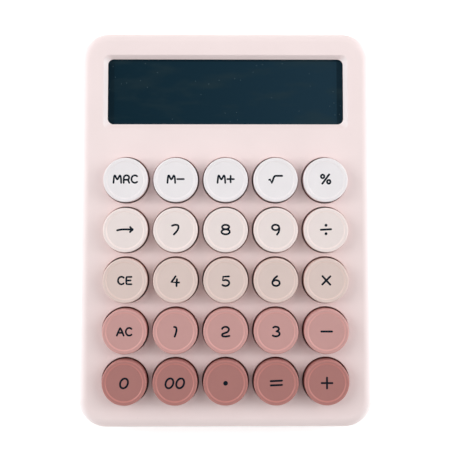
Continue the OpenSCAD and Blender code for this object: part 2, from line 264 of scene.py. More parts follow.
def turned(name, outline, sides=96):
    """A round piece through the (radius, height) points of its outline."""
    radius, height = outline[0]
    bpy.ops.mesh.primitive_circle_add(
        vertices=sides, radius=radius, fill_type="NGON", location=(0, 0, height))
    piece = named(name)
    edit(piece)
    bpy.ops.mesh.select_all(action="SELECT")
    for (r0, z0), (r1, z1) in zip(outline, outline[1:]):
        bpy.ops.mesh.extrude_region_move(TRANSFORM_OT_translate={"value": (0, 0, z1 - z0)})
        bpy.ops.transform.resize(value=(r1 / r0, r1 / r0, 1), center_override=(0, 0, z1))
    bpy.ops.mesh.select_all(action="SELECT")
    bpy.ops.mesh.normals_make_consistent(inside=False)
    done()
    return piece


def quarter(cx, cz, radius, start, steps):
    """Points of a quarter turn about (cx, cz), counted up or down from a start angle."""
    turn = 90 if steps > 0 else -90
    angles = [radians(start + turn * i / abs(steps)) for i in range(abs(steps) + 1)]
    return [(cx + radius * cos(a), cz + radius * sin(a)) for a in angles]


# %% [markdown]
# ## Top case
# The shell is injection moulded: one thin wall with a generous round along its outer edge, holes
# for the keys with softened lips, and a bevelled opening for the window. Underneath it has a
# guide collar round every hole and posts for the screws. It is made from a rounded block that is
# opened at the bottom and given a wall, then the collars are melted in and the holes cut.

# %% Shell
skirt_h = 11 * mm
deck_t = 2.2 * mm
seam = 0.3 * mm
hair = 0.01 * mm
shell = slab("case_top", body_w, body_l, corner_r, -skirt_h, 0, segments=20)
edit(shell)
take(shell, lambda face: face.normal.z > 0.9)
bpy.ops.mesh.region_to_loop()
bpy.ops.mesh.bevel(offset=edge_r, segments=12, affect="EDGES")
take(shell, lambda face: face.normal.z < -0.9)
bpy.ops.mesh.delete(type="FACE")
done()
apply(shell, "SOLIDIFY", thickness=deck_t, offset=-1, use_even_offset=True)


def outer_rim(edge):
    middle = (edge.verts[0].co + edge.verts[1].co) / 2
    walls = [face for face in edge.link_faces if abs(face.normal.z) < 0.1]
    return abs(middle.z + skirt_h) < hair and any(face.normal.dot(middle) > 0 for face in walls)


edit(shell)
take(shell, outer_rim, "EDGE")
bpy.ops.mesh.bevel(offset=seam, segments=2, affect="EDGES")
done()
print("shell:", len(shell.data.polygons), "faces")

# %% [markdown]
# Screw posts, key collars and their slots are simple forms, so each is drawn once and copied to
# all its places before it meets the shell. One large cut is also quicker than many small ones.

# %% Collars and posts
key_pitch = 22 * mm
keypad_y = -22.8 * mm
hole_r = 10.25 * mm
collar_wall = 0.6 * mm
collar_low = -6.2 * mm
collar_root = -1.4 * mm
case_post_r = 2.8 * mm
inner_post_r = 2.5 * mm
board_z = -8.8 * mm
holder_z = -5.4 * mm
key_rows = [
    ["key_mrc", "key_m_minus", "key_m_plus", "key_sqrt", "key_percent"],
    ["key_arrow", "key_7", "key_8", "key_9", "key_divide"],
    ["key_ce", "key_4", "key_5", "key_6", "key_multiply"],
    ["key_ac", "key_1", "key_2", "key_3", "key_minus"],
    ["key_0", "key_00", "key_point", "key_equals", "key_plus"],
]
key_places = {
    name: ((col - 2) * key_pitch, keypad_y + (2 - row) * key_pitch)
    for row, names in enumerate(key_rows) for col, name in enumerate(names)
}
case_posts = [
    (side * x * mm, y * mm) for x, y in [(55.7, -78.7), (57, 37.5), (55.7, 78.7)] for side in (-1, 1)
]
board_posts = [
    (x * key_pitch, keypad_y + y * key_pitch) for x in (-1.5, 1.5) for y in (-1.5, 1.5)
] + [(-30 * mm, 37.8 * mm), (30 * mm, 37.8 * mm)]
holder_posts = [(-57.9 * mm, 61 * mm), (57.9 * mm, 61 * mm)]


def drum(name, radius, low, high, sides=48):
    return turned(name, [(radius, low), (radius, high)], sides)


collar = drum("collar", hole_r + collar_wall, collar_low, collar_root, 64)
carve(shell, spread(collar, key_places.values()), "UNION")
for places, radius, low in [
    (case_posts, case_post_r, -skirt_h),
    (board_posts, inner_post_r, board_z),
    (holder_posts, inner_post_r, holder_z),
]:
    carve(shell, spread(drum("post", radius, low, collar_root, 32), places), "UNION")
print("collars and posts:", len(shell.data.polygons), "faces")

# %% [markdown]
# A moulded hole never has a knife edge. The cutter for a key hole flares outward in a small
# quarter round just where it leaves the deck, so the cut itself leaves the softened lip.

# %% Key holes
lip_r = 0.45 * mm
proud = 0.03 * mm
cutter_low = -7 * mm
ear_slot_l = 25.4 * mm
ear_slot_w = 4.4 * mm
case_pilot_r = 1.15 * mm
inner_pilot_r = 0.95 * mm
lip = quarter(hole_r + lip_r, proud - lip_r, lip_r, 180, -5)
hole_outline = [(hole_r, cutter_low)] + lip + [(lip[-1][0], 1 * mm)]
carve(shell, spread(turned("hole", hole_outline), key_places.values()))
ear_slot = slab("slot", ear_slot_l, ear_slot_w, 0, cutter_low, -deck_t - 0.05 * mm)
ear_slot.data.transform(Matrix.Rotation(pi / 4, 4, "Z"))
carve(shell, spread(ear_slot, key_places.values()))
carve(shell, spread(drum("pilot", case_pilot_r, -12 * mm, -4.2 * mm, 24), case_posts))
inner_pilot = drum("pilot", inner_pilot_r, -9 * mm, -2.8 * mm, 24)
carve(shell, spread(inner_pilot, board_posts + holder_posts))
print("holes:", len(shell.data.polygons), "faces")

# %% [markdown]
# The window's opening is a short upright land at the bottom and a slope above it, wider toward
# the front. The cutter is a rounded plate whose top face is extruded and widened in a few steps,
# the last of them flatter, so that the slope rolls softly into the deck.

# %% Window opening
window_w = 105.8 * mm
window_l = 29.4 * mm
window_y = 61.1 * mm
window_r = 2.6 * mm
bevel_run = 1.8 * mm
bevel_front = 2.9 * mm
bevel_both = bevel_run + bevel_front
bevel_extra = bevel_front - bevel_run
slope = [(-0.45 * mm, 0.74), (-0.2 * mm, 0.88), (-0.05 * mm, 0.99), (0.05 * mm, 1.12)]
opening = slab("opening", window_w, window_l, window_r, -3 * mm, -2 * mm)
edit(opening)
take(opening, lambda face: face.normal.z > 0.9)
height, share = -2 * mm, 0
for next_height, next_share in slope:
    wide = (window_w + 2 * bevel_run * next_share) / (window_w + 2 * bevel_run * share)
    long = (window_l + bevel_both * next_share) / (window_l + bevel_both * share)
    slide = -bevel_extra / 2 * (next_share - share)
    centre = (0, -bevel_extra / 2 * next_share, next_height)
    bpy.ops.mesh.extrude_region_move(
        TRANSFORM_OT_translate={"value": (0, slide, next_height - height)})
    bpy.ops.transform.resize(value=(wide, long, 1), center_override=centre)
    height, share = next_height, next_share
done()
opening.data.transform(Matrix.Translation((0, window_y, 0)))
carve(shell, opening)
edit(shell)
bpy.ops.mesh.select_all(action="SELECT")
bpy.ops.mesh.remove_doubles(threshold=0.002 * mm)
done()
print("window opening:", len(shell.data.polygons), "faces")

# %% [markdown]
# Two numbers are kept on every vertex of the shell, for its finish. "edge" is 1 where the surface
# leans to the left or right but still looks up, which is painted paler there as a painted highlight.
# "shade" is 1 on the walls of the key holes, which are painted darker there as painted shade. Both
# are stored while the shell still lies flat.
# 1 on the walls of the key holes. Both are stored while the shell still lies flat.

# %% Mark the edges and the hole walls
# edge marks the rounded sides, which get a painted highlight
edge_mark = shell.data.attributes.new("edge", "FLOAT", "POINT")
for vertex, mark in zip(shell.data.vertices, edge_mark.data):
    sideways = min(1, max(0, abs(vertex.normal.x) * 2 - 0.5))
    mark.value = sideways * min(1, max(0, vertex.normal.z * 3))
# shade marks the hole walls, which get painted shade
shade_mark = shell.data.attributes.new("shade", "FLOAT", "POINT")
for vertex, mark in zip(shell.data.vertices, shade_mark.data):
    x, y, z = vertex.co
    col = round(min(2, max(-2, x / key_pitch)))
    row = round(min(2, max(-2, (y - keypad_y) / key_pitch)))
    out = Vector((x - col * key_pitch, y - keypad_y - row * key_pitch)).length
    mark.value = float(out < hole_r + 0.02 * mm and z < -lip_r)
smoothed(on_deck(shell))
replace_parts(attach(shell, "case"), "top_case")
print("case_top:", len(shell.data.polygons), "faces")

# %% [markdown]
# ## Lower case
# The tray below has a flat underside and a rounded base edge, and it meets the top case in a fine
# groove, where both edges are broken. A block is laid on the slope and bisected level with the
# underside. Its top face is then inset to a wall and sunk to a level floor, which makes the whole
# tray in two steps, with every wall still of one piece.

# %% Tray
wall_t = 2 * mm
floor_z = foot_h + wall_t
base_r = 1.6 * mm
far_below = -45 * mm
tray = on_deck(slab("case_bottom", body_w, body_l, corner_r, far_below, -skirt_h, segments=20))
edit(tray)
bpy.ops.mesh.select_all(action="SELECT")
bpy.ops.mesh.bisect(plane_co=(0, 0, foot_h), plane_no=(0, 0, 1), clear_inner=True, use_fill=True)
for facing, radius, steps in ((-1, base_r, 6), (1, seam, 2)):
    take(tray, lambda face: face.normal.z * facing > 0.9)
    bpy.ops.mesh.region_to_loop()
    bpy.ops.mesh.bevel(offset=radius, segments=steps, affect="EDGES")
take(tray, lambda face: face.normal.z > 0.9)
bpy.ops.mesh.inset(thickness=wall_t - seam)
bpy.ops.mesh.extrude_region_move(TRANSFORM_OT_translate={"value": press * 10 * mm})
bpy.ops.transform.resize(value=(1, 1, 0), center_override=(0, 0, floor_z))
done()
print("tray:", len(tray.data.polygons), "faces")

# %% [markdown]
# The battery lies in a walled bay that opens downward, and its cover runs in a notch that is open
# to the rear, on a tongue along each side. Screw heads sit in round wells, and the rubber feet in
# shallow ones. All of these are cut in turn, and the quick solver copes best with such long thin
# walls.

# %% Bay, notch and wells
bay_y = 78 * mm
bay_w = 50 * mm
bay_l = 12.7 * mm
bay_wall = 1.5 * mm
bay_roof_z = floor_z + 11.3 * mm
cover_w = 56 * mm
cover_front_y = bay_y - bay_l / 2 - bay_wall
cover_rear_y = deck_y + body_l / 2 * cos(tilt) + rear_h * sin(tilt) - 0.3 * mm
tongue_w = 1.4 * mm
tongue_t = 0.8 * mm
tongue_z = foot_h + 0.6 * mm
fit = 0.1 * mm
notch_l = 60 * mm
notch_y = cover_front_y - fit + notch_l / 2
tab_w = 1.6 * mm
tab_l = 4 * mm
well_r = 2.5 * mm
foot_well_z = foot_h + 0.4 * mm
foot_r = 5 * mm
foot_places = [(x * mm, y * mm) for x in (-50, 50) for y in (-66, 66)]


def block(name, width, length, low, high, x=0, y=0):
    """A plain tool for cutting, which stands level."""
    piece = slab(name, width, length, 0, low, high)
    piece.data.transform(Matrix.Translation((x, y, 0)))
    return piece


def shape_tray(tool, operation="DIFFERENCE"):
    carve(tray, tool, operation, "FAST")


shape_tray(spread(drum("foot well", foot_r + fit, 0, foot_well_z, 64), foot_places))
shape_tray(on_deck(spread(drum("well", well_r, far_below, -skirt_h, 40), case_posts)))
shape_tray(block("walls", bay_w + 2 * bay_wall, bay_l + 2 * bay_wall, foot_h + 0.5 * mm,
                 bay_roof_z + bay_wall, y=bay_y), "UNION")
shape_tray(block("bay", bay_w, bay_l, 0, bay_roof_z, y=bay_y))
shape_tray(block("notch", cover_w + 2 * fit, notch_l, 0, floor_z + fit, y=notch_y))
for side in (-1, 1):
    shape_tray(block("tab", tab_w, tab_l, bay_roof_z - 1 * mm, bay_roof_z + 3 * mm,
                     side * (bay_w / 2 - 0.4 * mm), bay_y))
    shape_tray(block("groove", tongue_w + 2 * fit, notch_l, tongue_z - fit, tongue_z + tongue_t + fit,
                     side * (cover_w + tongue_w) / 2, notch_y - 1 * mm))
print("bay, notch and wells:", len(tray.data.polygons), "faces")

# %% [markdown]
# A lip stands up inside the groove and locates the top case, and a hollow boss surrounds each
# screw. They are made as closed forms of their own that sink into the walls and the floor.

# %% Lip and bosses
lip_t = 1 * mm


def inset_plate(inset, low, high):
    return slab("lip", body_w - 2 * inset, body_l - 2 * inset, corner_r - inset, low, high)


def lip_ring(inset, low, high):
    plate = inset_plate(inset, low, high)
    middle = inset_plate(inset + lip_t, low - 1 * mm, high + 1 * mm)
    return on_deck(carve(plate, middle))


boss_step = -skirt_h - 2 * mm
boss_top = -skirt_h - 0.02 * mm
boss_r = 3.6 * mm
bolt_hole_r = 1.4 * mm
boss_outline = [
    (well_r - 0.05 * mm, far_below), (well_r - 0.05 * mm, boss_step), (bolt_hole_r, boss_step),
    (bolt_hole_r, boss_top), (boss_r, boss_top), (boss_r, far_below),
]
boss = turned("boss", boss_outline, 40)
edit(boss)
take(boss, lambda face: face.normal.z * face.calc_center_median().z > 0 and len(face.verts) > 4)
bpy.ops.mesh.delete(type="ONLY_FACE")
take(boss, lambda edge: len(edge.link_faces) == 1, "EDGE")
bpy.ops.mesh.bridge_edge_loops()
done()
bosses = on_deck(spread(boss, case_posts))
edit(bosses)
bpy.ops.mesh.select_all(action="SELECT")
bpy.ops.mesh.bisect(
    plane_co=(0, 0, foot_well_z), plane_no=(0, 0, 1), clear_inner=True, use_fill=True)
done()
lip_root = -skirt_h - 1.5 * mm
tall_lip = lip_ring(2.3 * mm, lip_root, -skirt_h + 1.4 * mm)
low_lip = lip_ring(1.6 * mm, lip_root, -skirt_h - 0.1 * mm)
joined([tray, bosses, tall_lip, low_lip])
smoothed(tray)
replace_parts(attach(tray, "case"), "bottom_case")
print("case_bottom:", len(tray.data.polygons), "faces")

# %% [markdown]
# ## Battery cover
# The cover is a thin plate with broken edges that slides out to the rear. Its rear edge continues
# the rounded base of the case, and five fine grooves give the thumb a hold.

# %% Battery cover
cover = slab("battery_door", cover_w, cover_rear_y - cover_front_y, 0, foot_h, floor_z)
edit(cover)
cover_half = (cover_rear_y - cover_front_y) / 2
take(cover, lambda edge: all(
    vert.co.y > cover_half - hair and vert.co.z < foot_h + hair for vert in edge.verts), "EDGE")
bpy.ops.mesh.bevel(offset=base_r, segments=6, affect="EDGES")
take(cover, lambda edge: (
    all(vert.co.z < foot_h + hair for vert in edge.verts) and edge.calc_face_angle(0) > 1), "EDGE")
bpy.ops.mesh.bevel(offset=0.25 * mm, segments=3, affect="EDGES")
done()
cover.data.transform(Matrix.Translation((0, cover_front_y + cover_half, 0)))
sunk = 0.4 * mm
for side in (-1, 1):
    tongue = block("tongue", tongue_w + sunk, 2 * cover_half - 3 * mm, tongue_z, tongue_z + tongue_t,
                   side * (cover_w + tongue_w - sunk) / 2, cover_front_y + cover_half - 1.4 * mm)
    carve(cover, tongue, "UNION")
grip_w = 18 * mm
grip_places = [(0, cover_rear_y - (4 + 2 * i) * mm) for i in range(5)]
carve(cover, spread(slab("grip", grip_w, 1 * mm, 0.45 * mm, 0, foot_h + 0.5 * mm, 6), grip_places))
smoothed(cover, 30)
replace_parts(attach(cover, "battery_cover"), "battery_cover")
print("battery_door:", len(cover.data.polygons), "faces")

# %% [markdown]
# ## Keycaps
# A cap is a straight-sided round button. Its rim is softly rounded, and inside the rim the face
# lies a quarter of a millimetre lower. Below it is hollow, with a thin wall, a central post that
# pushes the rubber dome, and two ears that catch under the deck. One outline folds through all
# of it: from the post up to the ceiling, down the inside of the wall, and up the outside.

# %% Keycap
cap_r = 9.75 * mm
cap_rise = 6 * mm
face_r = 7.95 * mm
face_sink = 0.25 * mm
cap_wall = 1.4 * mm
rim_r = 0.55 * mm
ear_low = -3.45 * mm
ear_top = -2.25 * mm
ear_reach = 12.2 * mm
post_r = 2 * mm
post_low = -3.61 * mm
crest = 0.4 * mm
ceiling = cap_rise - cap_wall
cap_outline = [
    (post_r - 0.2 * mm, post_low), (post_r, post_low + 0.2 * mm), (post_r, ceiling),
    (cap_r - cap_wall, ceiling), (cap_r - cap_wall, ear_low), (cap_r, ear_low), (cap_r, ear_top),
    *quarter(cap_r - rim_r, cap_rise - rim_r, rim_r, 0, 6),
    (cap_r - rim_r - 0.12 * mm, cap_rise), (face_r + crest + 0.12 * mm, cap_rise),
    (face_r + crest, cap_rise), (face_r + 0.24 * mm, cap_rise - 0.05 * mm),
    (face_r + 0.08 * mm, cap_rise - 0.16 * mm), (face_r - 0.05 * mm, cap_rise - 0.225 * mm),
    (face_r - 0.25 * mm, cap_rise - face_sink),
]
cap = turned("cap", cap_outline)
edit(cap)
for side in (1, -1):
    out = Vector((side, side, 0)).normalized()
    take(cap, lambda face: (
        ear_low < face.calc_center_median().z < ear_top and face.normal.dot(out) > cos(radians(13))))
    bpy.ops.mesh.extrude_region_move(
        TRANSFORM_OT_translate={"value": out * (ear_reach - cap_r)})
done()
smoothed(cap)
print("cap:", len(cap.data.polygons), "faces")

# %% [markdown]
# The rim is painted lighter than the face as a painted highlight, most of all along its two rounded
# edges, and it is a little glossier, polished by the mould. A number is kept on every vertex: 0 on
# the face, 1 on the slope inside the rim, and less on the outer edge and on the flat between them,
# so that the finish can tell them apart wherever the copy ends up. A second number marks the part
# that stays below the deck, which is painted darker as painted shade.

# %% Mark the rim and copy the caps
inner_share, outer_share, flat_share = 1.0, 0.5, 0.15
face_edge = face_r - 0.1 * mm
# rim sets how strongly each part of the rim gets the painted highlight
rim_mark = cap.data.attributes.new("rim", "FLOAT", "POINT")
shade_mark = cap.data.attributes.new("shade", "FLOAT", "POINT")
for vertex, mark, painted_shade in zip(cap.data.vertices, rim_mark.data, shade_mark.data):
    out = Vector(vertex.co[:2]).length
    inner = face_edge < out < face_r + crest + hair
    outer = out > cap_r - rim_r - hair
    on_rim = vertex.co.z > 0 and out > face_edge
    mark.value = on_rim * (inner_share if inner else outer_share if outer else flat_share)
    # The part below the deck gets painted shade.
    painted_shade.value = float(vertex.co.z < 0)
row_slots = ["key_white", "key_blush", "key_sand", "key_dusty", "key_rose"]
caps = {}
for row, names in enumerate(key_rows):
    for name in names:
        piece = copied(cap, "cap" + name[3:], deck @ Matrix.Translation((*key_places[name], 0)))
        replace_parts(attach(piece, name), name)
        caps[name] = piece
bpy.data.objects.remove(cap)
print("caps:", len(caps))

# %% [markdown]
# ## Legends
# The marks on the keys are the plain ones that every calculator has: digits, signs, and the short
# words for memory and clear. They are printed in a thin line with round ends. Each mark is a few
# strokes on a grid one unit high, given by the points the pen passes; curves are arcs or run
# smoothly through their points. The stroke becomes a curve with thickness, and is then pressed
# flat to the height of printed ink.

# %% Strokes
def arc(cx, cy, rx, ry, start, end, steps=12):
    """Points along an ellipse, from one angle to another in degrees."""
    angles = [radians(start + (end - start) * i / steps) for i in range(steps + 1)]
    return [(cx + rx * cos(a), cy + ry * sin(a)) for a in angles]


def flowing(*points, steps=5):
    """Points along a curve that runs smoothly through the given ones."""
    ends = [points[0], *points, points[-1]]
    line = []
    for a, b, c, d in zip(ends, ends[1:], ends[2:], ends[3:]):
        a, b, c, d = Vector(a), Vector(b), Vector(c), Vector(d)
        for i in range(steps):
            t = i / steps
            line.append(tuple(
                (2 * b + (c - a) * t + (2 * a - 5 * b + 4 * c - d) * t ** 2
                 + (3 * b - a - 3 * c + d) * t ** 3) / 2))
    return line + [tuple(points[-1])]


def ring(cx, cy, rx, ry):
    return arc(cx, cy, rx, ry, 90, 450, 20)


def leaning(points, by):
    return [(x + (y - 0.5) * by, y) for x, y in points]


print("a ring has", len(ring(0, 0, 1, 1)), "points")


# %% [markdown]
# Each mark has its width in units and its strokes. The shapes are drawn for this set alone: round,
# slightly wide, a little loose, and all of one weight.

# %% Marks
MARKS = {
    "0": (0.84, [leaning(ring(0.42, 0.5, 0.4, 0.5), 0.18)]),
    "1": (0.34, [flowing((0.08, 0.98), (0.26, 0.94), (0.33, 0.72), (0.27, 0.36), (0.14, 0))]),
    "2": (0.82, [arc(0.4, 0.72, 0.36, 0.27, 165, -20, 9)
                 + flowing((0.6, 0.45), (0.3, 0.34), (0.08, 0.24), (0.08, 0.06), (0.4, 0.0),
                           (0.8, 0.06))]),
    "3": (0.76, [arc(0.34, 0.77, 0.33, 0.23, 140, -80, 9) + arc(0.34, 0.27, 0.4, 0.27, 80, -140, 10)]),
    "4": (0.84, [flowing((0.46, 1), (0.28, 0.74), (0.02, 0.4)) + [(0.82, 0.36)],
                 flowing((0.6, 0.7), (0.57, 0.35), (0.56, 0))]),
    "5": (0.8, [[(0.74, 0.99), (0.14, 0.96), (0.1, 0.58)] + arc(0.38, 0.31, 0.4, 0.31, 110, -140, 11)]),
    "6": (0.78, [flowing((0.5, 1), (0.22, 0.76), (0.04, 0.46), (0.01, 0.3))
                 + arc(0.39, 0.3, 0.38, 0.3, 180, 500, 16)]),
    "7": (0.7, [flowing((0, 0.9), (0.3, 0.99), (0.58, 0.95), (0.68, 0.74), (0.52, 0.36), (0.2, 0))]),
    "8": (0.86, [ring(0.43, 0.76, 0.37, 0.23), ring(0.43, 0.26, 0.43, 0.26)]),
    "9": (0.8, [ring(0.37, 0.72, 0.37, 0.28),
                flowing((0.74, 0.74), (0.76, 0.5), (0.68, 0.2), (0.52, -0.02))]),
    "M": (1.06, [flowing((0.02, 0), (0.06, 0.5), (0.12, 0.92), (0.24, 0.94), (0.4, 0.6), (0.53, 0.46),
                         (0.66, 0.62), (0.84, 0.96), (0.96, 0.86), (1.02, 0.45), (1.04, 0))]),
    "R": (0.8, [flowing((0.04, 0), (0.05, 0.5), (0.12, 0.86), (0.4, 1.0), (0.68, 0.9), (0.76, 0.68),
                        (0.62, 0.44), (0.1, 0.4)), flowing((0.48, 0.42), (0.66, 0.3), (0.78, 0))]),
    "C": (0.8, [arc(0.45, 0.5, 0.45, 0.5, 48, 312, 14)]),
    "E": (0.7, [[(0.7, 0.98)] + flowing((0.1, 0.97), (0.03, 0.8), (0.02, 0.5), (0.03, 0.2), (0.1, 0.02))
                + [(0.7, 0.01)], [(0.05, 0.5), (0.6, 0.51)]]),
    "A": (0.9, [flowing((0, 0), (0.2, 0.5), (0.43, 1)) + flowing((0.5, 0.9), (0.7, 0.5), (0.9, 0)),
                [(0.17, 0.36), (0.73, 0.36)]]),
    "-": (1.1, [[(0, 0.5), (1.1, 0.5)]]),
    "+": (1.1, [[(0, 0.5), (1.1, 0.5)], [(0.55, -0.05), (0.55, 1.05)]]),
    "x": (0.84, [[(0, 0.08), (0.84, 0.92)], [(0.02, 0.94), (0.82, 0.06)]]),
    "=": (1.16, [[(0, 0.7), (1.16, 0.76)], [(0, 0.27), (1.16, 0.32)]]),
    "/": (1.06, [[(0, 0.47), (1.06, 0.53)], ring(0.53, 0.94, 0.05, 0.05),
                 ring(0.53, 0.06, 0.05, 0.05)]),
    "%": (1.0, [[(0.14, 0.02), (0.86, 0.98)], ring(0.18, 0.78, 0.17, 0.19),
                ring(0.82, 0.22, 0.17, 0.19)]),
    "r": (1.34, [[(0, 0.42), (0.1, 0.46)] + flowing((0.24, 0.1), (0.36, 0.34), (0.5, 0.72), (0.66, 0.84))
                 + [(1.34, 0.84)]]),
    ">": (1.64, [flowing((0, 0.42), (0.4, 0.5), (0.9, 0.52), (1.58, 0.5)),
                 flowing((1.36, 0.76), (1.46, 0.62), (1.62, 0.5), (1.46, 0.38), (1.34, 0.24))]),
    ".": (0.3, [ring(0.15, 0.5, 0.14, 0.14), ring(0.15, 0.5, 0.05, 0.05)]),
}
letter_h = 3.3 * mm
digit_h = 4.2 * mm
LEGENDS = {
    "key_mrc": "MRC", "key_m_minus": "M-", "key_m_plus": "M+", "key_sqrt": "r", "key_percent": "%",
    "key_arrow": ">", "key_divide": "/", "key_ce": "CE", "key_multiply": "x", "key_ac": "AC",
    "key_minus": "-", "key_00": "00", "key_point": ".", "key_equals": "=", "key_plus": "+",
    **{f"key_{digit}": str(digit) for digit in range(10)},
}
small_marks = "MRCEA"
print("marks:", len(MARKS))

# %% [markdown]
# A stroke's end is rounded by adding a few points past it whose thickness falls away along a
# quarter circle, down to nothing. A closed ring needs no ends. The print isn't quite in the middle
# of every face: it lies a little high in the rear rows and a little low in the front one.

# %% Print the legends
digit_ink_r = 0.43 * mm
letter_ink_r = 0.4 * mm
ink_h = 0.04 * mm
gap = 0.27
plus_in_word = 0.78


def pen(curve, points, scale, start_x, ink_r):
    """Adds one stroke to a curve, with round ends unless it closes on itself."""
    line = [Vector((start_x + x * scale, (y - 0.5) * scale, 0)) for x, y in points]
    closed = (line[0] - line[-1]).length < 1e-6
    if closed:
        line.pop()
    width = [1.0] * len(line)
    if not closed:
        for end, way in ((0, line[0] - line[1]), (len(line), line[-1] - line[-2])):
            way.normalize()
            tip = line[0] if end == 0 else line[-1]
            end_points = [tip + way * ink_r * sin(radians(a)) for a in (30, 60, 80, 90)]
            end_width = [cos(radians(a)) for a in (30, 60, 80)] + [0.0]
            if end == 0:
                line = end_points[::-1] + line
                width = end_width[::-1] + width
            else:
                line += end_points
                width += end_width
    stroke = curve.splines.new("POLY")
    stroke.use_cyclic_u = closed
    stroke.points.add(len(line) - 1)
    for point, place, thick in zip(stroke.points, line, width):
        point.co = (*place, 1)
        point.radius = thick


def legend(name, text):
    curve = bpy.data.curves.new(name, "CURVE")
    curve.dimensions = "3D"
    small = text[0] in small_marks
    scale, ink_r = (letter_h, letter_ink_r) if small else (digit_h, digit_ink_r)
    curve.bevel_depth = ink_r
    curve.bevel_resolution = 2
    sizes = [scale * (plus_in_word if mark in "+-" and len(text) > 1 else 1) for mark in text]
    total = sum(MARKS[mark][0] * size for mark, size in zip(text, sizes))
    x = -(total + gap * scale * (len(text) - 1)) / 2
    for mark, size in zip(text, sizes):
        width, strokes = MARKS[mark]
        for stroke in strokes:
            pen(curve, stroke, size, x, ink_r)
        x += width * size + gap * scale
    piece = bpy.data.objects.new(name, curve)
    bpy.context.scene.collection.objects.link(piece)
    only(piece)
    bpy.ops.object.convert(target="MESH")
    edit(piece)
    bpy.ops.mesh.select_all(action="SELECT")
    bpy.ops.mesh.remove_doubles(threshold=0.002 * mm)
    bpy.ops.transform.resize(value=(1, 1, ink_h / ink_r), center_override=(0, 0, 0))
    bpy.ops.mesh.normals_make_consistent(inside=False)
    done()
    bpy.ops.object.shade_smooth()
    return piece


row_lift = [0.35 * mm, 0.25 * mm, 0.1 * mm, 0, -0.15 * mm]
low_digits = "456"
low_digit_drop = 0.3 * mm
legends = {}
for name, text in LEGENDS.items():
    piece = legend("legend" + name[3:], text)
    x, y = key_places[name]
    lift = next(up for up, names in zip(row_lift, key_rows) if name in names)
    lift -= low_digit_drop * (text in low_digits)
    piece.data.transform(deck @ Matrix.Translation((x, y + lift, cap_rise - face_sink)))
    legends[name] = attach(piece, name)
print("legends:", len(legends))

# %% [markdown]
# ## Window
# The window is a sheet of dark tinted acrylic, polished on top, taped under the deck. From above
# only its top shows through the opening. It is a rounded plate with a fine bevel all round.

# %% Window
lens_z = -2.35 * mm
lens_t = 1.5 * mm
lens_frame = 1.2 * mm
window = slab("window", window_w + 2 * lens_frame, window_l + 2 * lens_frame, window_r + 0.5 * mm,
              lens_z - lens_t, lens_z)
apply(window, "BEVEL", width=0.2 * mm, segments=3, limit_method="ANGLE", angle_limit=radians(40))
window.data.transform(Matrix.Translation((0, window_y, 0)))
smoothed(on_deck(window))
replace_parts(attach(window, "case"), "display_window")
print("window:", len(window.data.polygons), "faces")

# %% [markdown]
# ## Rubber sheet, domes and pills
# Under the keys lies one silicone sheet with a hollow dome for each key, and a black pill of
# conductive rubber hangs inside each dome. A pressed key flattens its own dome and no other, so
# each dome and pill is a piece of its own.

# %% Rubber sheet
mat_z = -7.8 * mm
dome_base_r = 5.4 * mm
dome_top_r = 2.9 * mm
dome_wall = 0.7 * mm
dome_top_z = -3.66 * mm
sheet_w = 5 * key_pitch + 1.5 * mm
sheet = slab("rubber_sheet", sheet_w, sheet_w, 3 * mm, board_z, mat_z, 6)
sheet.data.transform(Matrix.Translation((0, keypad_y, 0)))
for name, radius, sides, places in [
    ("well", dome_base_r - 0.1 * mm, 48, key_places.values()),
    ("clear", 2.9 * mm, 24, board_posts),
    ("clear", 3.6 * mm, 24, case_posts),
]:
    carve(sheet, spread(drum(name, radius, -10 * mm, -7 * mm, sides), places))
smoothed(on_deck(sheet))
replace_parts(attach(sheet, "case"), "dome_mat")
print("rubber sheet:", len(sheet.data.polygons), "faces")

# %% [markdown]
# A dome is a thin cone with a flat top, and the pill is a small disc with broken edges. Each is
# turned from one outline and copied to all the keys.

# %% Domes and pills
dome_outline = [
    (dome_top_r - dome_wall, dome_top_z - dome_wall), (dome_base_r - dome_wall, mat_z),
    (dome_base_r - dome_wall, board_z), (dome_base_r, board_z), (dome_base_r, mat_z),
    (dome_base_r - 0.25 * mm, mat_z + 0.3 * mm), (dome_top_r + 0.2 * mm, dome_top_z - 0.5 * mm),
    (dome_top_r, dome_top_z - 0.2 * mm), (dome_top_r - 0.2 * mm, dome_top_z),
]
pill_top = dome_top_z - dome_wall - 0.02 * mm
pill_outline = [
    (1.65 * mm, pill_top), (1.8 * mm, pill_top - 0.12 * mm), (1.8 * mm, pill_top - 0.48 * mm),
    (1.65 * mm, pill_top - 0.6 * mm),
]
dome = smoothed(turned("dome", dome_outline, 40))
pill = smoothed(turned("pill", pill_outline, 32))
for name, (x, y) in key_places.items():
    place = deck @ Matrix.Translation((x, y, 0))
    for soft, node, slot_name in ((dome, "dome_mat", "silicone"), (pill, "contact_pills", "carbon_rubber")):
        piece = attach(copied(soft, soft.name + name[3:], place), "case")
        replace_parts(piece, node)
        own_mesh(piece)
bpy.data.objects.remove(dome)
bpy.data.objects.remove(pill)
print("domes and pills:", 2 * len(key_places))

# %% [markdown]
# ## Feet
# Four soft rubber discs are stuck into shallow recesses. Their lower edge is rounded, which a
# turned outline gives directly.

# %% Feet
foot_top = foot_h + 0.39 * mm
foot_outline = [
    (foot_r - 0.9 * mm, 0), *quarter(foot_r - 0.7 * mm, 0.7 * mm, 0.7 * mm, -70, 4)[:-1],
    (foot_r, 0.75 * mm), (foot_r, foot_top),
]
feet = smoothed(spread(turned("feet", foot_outline, 64), foot_places))
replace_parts(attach(feet, "case"), "rubber_feet")
print("feet:", len(feet.data.polygons), "faces")

# %% [markdown]
# ## Shader maths as plain expressions
# A finish is a small network of nodes. Wiring it by hand hides what it means, so a wire is wrapped
# in a class that understands + - * / < and >, and each expression adds the Math nodes it needs.
# Any other node comes from one method, with its settings first and then its sockets.

